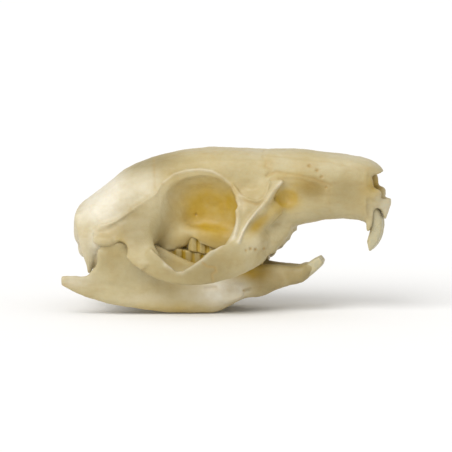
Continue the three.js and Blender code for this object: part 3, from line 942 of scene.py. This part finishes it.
JAW_MELTS = [
    ((-8, 9.4, 3.6), 4, 160),
    ((-14, 11.4, 6), 3, 120),
    ((-2, 8.6, 4.4), 3.4, 120),
    ((4.6, 6.6, 4.6), 2.6, 120),
    ((-23.4, 13, 8.4), 2.4, 80),
    ((-20.6, 12.4, 13.4), 2.2, 60),
]
# The first line is painted shadow in the slot between the jaw's ridge and the cheekbone; the second is a
# small hole.
JAW_LINES = [
    ([(-2.4, 8.9, 5.2), (-0.4, 8.6, 5.4)], 0.35, 0.55),
    ([(4.4, 6.8, 4.7), (6, 6.1, 4.9)], 0.28, 0.75),
]
# Painted shade: amber patches where the jaw runs under the cheek and the skull, and along its underside.
JAW_AMBER_SHADES = [
    ((6.6, 5, 8.6), (4.4, 3, 2), 1.3),
    ((10, 4, 8), (4, 3, 1.8), 0.55),
    ((-8, 9.5, 0.8), (13, 4, 1.5), 0.45),
    ((-19.4, 12.4, 12.6), (2.4, 3, 2.4), 0.3),
    ((-6, 8, 10.4), (5, 3, 1.6), 0.45),
]
# Patches of paler bone, partly painted highlights on stretches made to look lit, such as the side of the
# jaw that faces down.
JAW_PALE_AND_HIGHLIGHT_PATCHES = [
    ((1.4, 8, 4.6), (5.8, 3, 2.8), 1.4),
    ((-28, 14, 7), (3.4, 3, 1.6), 0.6),
    ((11, 3, 7.6), (2.6, 2.4, 1.4), 0.45),
    ((-24.5, 13, 13.6), (1.4, 2, 1.2), 0.6),
    ((-14, 12, 3.2), (6, 3, 1), 0.2),
]
# Painted shade: patches darkened on the front of the jaw and on its back.
JAW_SHADE_PATCHES = [
    ((9.4, 4, 6.4), (4.4, 3, 3), 1.4),
    ((15, 2, 7.6), (4, 2.6, 3), 1.5),
    ((-21, 13, 11), (4, 3, 4), 0.6),
    ((-19, 12.6, 8), (5, 3, 4), 0.4),
    ((-26, 13.6, 7), (6, 3, 3), 0.45),
]


# Swellings of the incisors where they fill their sockets, the plane in which the cheek teeth meet and
# swell to close it, and the planes that wear has cut
ROOTS = {
    "upper": [([(28.6, 1.1, 22), (30, 1.1, 20.4), (30.6, 1.1, 18.8)], 1.5, 0.28)],
    "lower": [([(14.6, 1.05, 7.1), (16.2, 1.05, 8)], 1.3, 0.32)],
}
CHEWING = [([(-11, 6.9, 13.6), (3.6, 4, 10.7), (8, 3.2, 9.8)], 1.8, 0.24)]
WEAR = {
    "upper": [((29.4, 1.1, 12.5), (-0.97, 0, -0.23), 3.4)],
    "lower": [((19.6, 1.05, 11.2), (0.3, 0, 1), 2.2), ((19.9, 1.05, 10.6), (1, 0, -0.25), 1.6)],
}
# Amber patches on the incisors, near the worn end of the upper one and at the socket of the lower one.
TOOTH_AMBER_PATCHES = [
    ((28.6, 1.2, 14.6), (0.6, 2, 1.6), 0.4),
    ((15.6, 1, 7.6), (1.2, 2, 1.6), 0.35),
]


# Operators


class SKULL_OT_bones(bpy.types.Operator):
    """Skull bones: brain case, face, cheekbones and ear capsules in one skin"""

    bl_idname = "skull.bones"
    bl_label = "Skull bones"

    def execute(self, context):
        settings = context.scene.skull_bones
        bm = bmesh.new()
        for node in SKULL_NODES:
            add_node(bm, node)
        for side in SIDES.values():
            for path, radii in SKULL_EDGES:
                add_rod(bm, [(x, y * side, z) for x, y, z in path], radii)
            for (x, y, z), sizes in SKULL_KNOBS:
                add_egg(bm, (x, y * side, z), sizes)
        piece = new_piece(bm, "skull_bones")
        grow_skin(piece, settings.cell, settings.seal, settings.softness)
        carve(piece, SKULL_STROKES, SKULL_MELTS, settings.swell)
        thin_faces(piece, settings.triangles)
        # Painted shade comes from how enclosed each place is.
        write_mark(piece.data, "hollow", hollow_depth(piece.data, BONE_REACH))
        # Dark lines: sutures, small holes and the painted shadow line under the brow edge.
        write_mark(piece.data, "line", mark_lines(piece.data, SKULL_LINES))
        # Painted amber shade in patches and along the nerve trough.
        tint_patch = mark_patches(piece.data, SKULL_AMBER_SHADES)
        tint_patch = np.maximum(tint_patch, mark_lines(piece.data, [(NERVE_TROUGH, 1.3, 1)]))
        write_mark(piece.data, "tint_patch", tint_patch)
        # Paler bone and painted highlights, also along the rims.
        pale = np.maximum(mark_patches(piece.data, SKULL_PALE_AND_HIGHLIGHT_PATCHES), mark_lines(piece.data, SKULL_HIGHLIGHT_RIMS))
        write_mark(piece.data, "pale", pale)
        # Painted shade patches.
        write_mark(piece.data, "painted_shade", mark_patches(piece.data, SKULL_SHADE_PATCHES))
        settle(piece, bone_finish("skull bone"), "bone", *SKULL_NODES)
        return {"FINISHED"}


class SKULL_OT_lower_jaw(bpy.types.Operator):
    """Lower jaw: its right and left halves"""

    bl_idname = "skull.lower_jaw"
    bl_label = "Lower jaw"

    def execute(self, context):
        settings = context.scene.skull_jaw
        material = bone_finish("jaw bone")
        for side in SIDES:
            node = f"mandible_{side}"
            bm = bmesh.new()
            add_node(bm, node)
            for path, radii in JAW_EDGES:
                add_rod(bm, [(x, y * SIDES[side], z) for x, y, z in path], radii)
            piece = new_piece(bm, f"jaw_{side}")
            grow_skin(piece, settings.cell, JAW_SEAL, settings.softness)
            carve(piece, JAW_STROKES, JAW_MELTS, settings.swell)
            # Painted shade comes from how enclosed each place is.
            write_mark(piece.data, "hollow", hollow_depth(piece.data, JAW_REACH))
            # Dark lines: a small hole and the painted shadow in the slot below the cheekbone.
            write_mark(piece.data, "line", mark_lines(piece.data, JAW_LINES))
            # Painted amber shade in patches.
            write_mark(piece.data, "tint_patch", mark_patches(piece.data, JAW_AMBER_SHADES))
            # Paler bone and painted highlights.
            write_mark(piece.data, "pale", mark_patches(piece.data, JAW_PALE_AND_HIGHLIGHT_PATCHES))
            # Painted shade patches.
            write_mark(piece.data, "painted_shade", mark_patches(piece.data, JAW_SHADE_PATCHES))
            settle(piece, material, "bone", node)
        return {"FINISHED"}


class SKULL_OT_cheek_teeth(bpy.types.Operator):
    """Cheek teeth: four rows of folded, flat-worn teeth"""

    bl_idname = "skull.cheek_teeth"
    bl_label = "Cheek teeth"

    def execute(self, context):
        settings = context.scene.skull_teeth
        material = enamel_finish("cheek tooth enamel", (1.6, 1.6, 0.25))
        for level in ("upper", "lower"):
            for side in SIDES:
                node = f"{level}_cheek_teeth_{side}"
                bm = bmesh.new()
                add_node(bm, node)
                piece = new_piece(bm, f"{level}_cheek_row_{side}")
                grow_skin(piece, settings.cell, CHEEK_TOOTH_SEAL, 3)
                carve(piece, CHEWING, [], 0.00002)
                # Painted shade comes from how enclosed each place is; amber is a warm tint all over,
                # deepened as painted shade in the folds.
                hollow = hollow_depth(piece.data, CHEEK_TOOTH_REACH)
                write_mark(piece.data, "hollow", hollow)
                write_mark(piece.data, "tint_patch", 0.5 + 3 * hollow)
                settle(piece, material, "teeth", node)
        return {"FINISHED"}


class SKULL_OT_incisors(bpy.types.Operator):
    """Incisors: a curved pair above and a pair below, worn to an edge"""

    bl_idname = "skull.incisors"
    bl_label = "Incisors"

    def execute(self, context):
        settings = context.scene.skull_teeth
        material = enamel_finish("incisor enamel", (1.2, 2.5, 1.2))
        for level in ("upper", "lower"):
            for side in SIDES:
                node = f"{level}_incisor_{side}"
                bm = bmesh.new()
                add_node(bm, node)
                piece = new_piece(bm, f"{level}_incisor_tooth_{side}")
                grow_skin(piece, settings.cell, INCISOR_SEAL, 4)
                carve(piece, ROOTS[level], [], 0.00003)
                for spot, slope, reach in WEAR[level]:
                    grind(piece, spot, slope, reach)
                # Painted shade comes from how enclosed each place is; the amber patches sit near the tip
                # and the socket.
                write_mark(piece.data, "hollow", hollow_depth(piece.data, INCISOR_REACH))
                write_mark(piece.data, "tint_patch", mark_patches(piece.data, TOOTH_AMBER_PATCHES))
                settle(piece, material, "teeth", node)
        return {"FINISHED"}


class SKULL_OT_stage(bpy.types.Operator):
    """Stage: the pale table, the soft lights and the camera"""

    bl_idname = "skull.stage"
    bl_label = "Stage"

    def execute(self, context):
        settings = context.scene.skull_stage
        scene = context.scene
        bm = bmesh.new()
        bmesh.ops.create_circle(bm, cap_ends=True, segments=96, radius=settings.radius)
        floor = new_piece(bm, "table")
        for vertex in floor.data.vertices:
            vertex.co.z -= 0.00005
        cover = Finish("pale table")
        paper = cover.spread(cover.grain(35, 3), 0.3, 0.7, 0.0, 0.05)
        shade = tuple(value * 0.96 for value in settings.floor)
        cover.join(cover.blend(paper, settings.floor, shade), cover.shader.inputs["Base Color"])
        cover.shader.inputs["Roughness"].default_value = 0.85
        cover.shader.inputs["Specular IOR Level"].default_value = 0.1
        floor.data.materials.append(cover.material)

        world = bpy.data.worlds.new("room")
        world.use_nodes = True
        back = world.node_tree.nodes["Background"]
        back.inputs["Color"].default_value = (1.0, 0.99, 0.97, 1)
        back.inputs["Strength"].default_value = settings.sky
        scene.world = world

        light = bpy.data.lights.new("key_light", "SUN")
        light.energy = settings.key
        light.angle = settings.spread
        key = bpy.data.objects.new("key_light", light)
        scene.collection.objects.link(key)
        key.location = KEY_FROM
        key.rotation_euler = (-key.location).to_track_quat("-Z", "Y").to_euler()
        scene.view_settings.view_transform = "Standard"

        turn, rise = settings.azimuth, settings.elevation
        out = Vector((math.sin(turn) * math.cos(rise), -math.cos(turn) * math.cos(rise), math.sin(rise)))
        up = Vector((-math.sin(turn) * math.sin(rise), math.cos(turn) * math.sin(rise), math.cos(rise)))
        aim = place(0, 0, 0) + up * 0.0166
        data = bpy.data.cameras.new("camera")
        data.sensor_width = 36
        data.lens = 36 * settings.distance / settings.view_width
        data.clip_start = 0.01
        data.clip_end = 20
        camera = bpy.data.objects.new("camera", data)
        scene.collection.objects.link(camera)
        camera.location = aim + out * settings.distance
        camera.rotation_euler = (-out).to_track_quat("-Z", "Y").to_euler()
        scene.camera = camera
        return {"FINISHED"}


class SKULL_PT_panel(bpy.types.Panel):
    bl_idname = "SKULL_PT_panel"
    bl_label = "Guinea pig skull"
    bl_space_type = "VIEW_3D"
    bl_region_type = "UI"
    bl_category = "Skull"

    def draw(self, context):
        for group, operators in PARTS:
            box = self.layout.box()
            settings = getattr(context.scene, group)
            for name in settings.bl_rna.properties.keys():
                if name not in {"rna_type", "name"}:
                    box.prop(settings, name)
            for operator in operators:
                box.operator(operator)


GROUPS = {
    "skull_bones": SkullSettings,
    "skull_jaw": JawSettings,
    "skull_teeth": ToothSettings,
    "skull_finish": FinishSettings,
    "skull_stage": StageSettings,
}
OPERATORS = (
    SKULL_OT_bones,
    SKULL_OT_lower_jaw,
    SKULL_OT_cheek_teeth,
    SKULL_OT_incisors,
    SKULL_OT_stage,
)
PARTS = (
    ("skull_bones", ("skull.bones",)),
    ("skull_jaw", ("skull.lower_jaw",)),
    ("skull_teeth", ("skull.cheek_teeth", "skull.incisors")),
    ("skull_finish", ()),
    ("skull_stage", ("skull.stage",)),
)


def register():
    for cls in (*GROUPS.values(), *OPERATORS, SKULL_PT_panel):
        bpy.utils.register_class(cls)
    for name, cls in GROUPS.items():
        setattr(bpy.types.Scene, name, bpy.props.PointerProperty(type=cls))


def unregister():
    for name in GROUPS:
        delattr(bpy.types.Scene, name)
    for cls in (SKULL_PT_panel, *reversed(OPERATORS), *reversed(GROUPS.values())):
        bpy.utils.unregister_class(cls)


def main():
    register()
    bpy.ops.skull.bones()
    bpy.ops.skull.lower_jaw()
    bpy.ops.skull.cheek_teeth()
    bpy.ops.skull.incisors()
    bpy.ops.skull.stage()


if __name__ == "__main__":
    main()
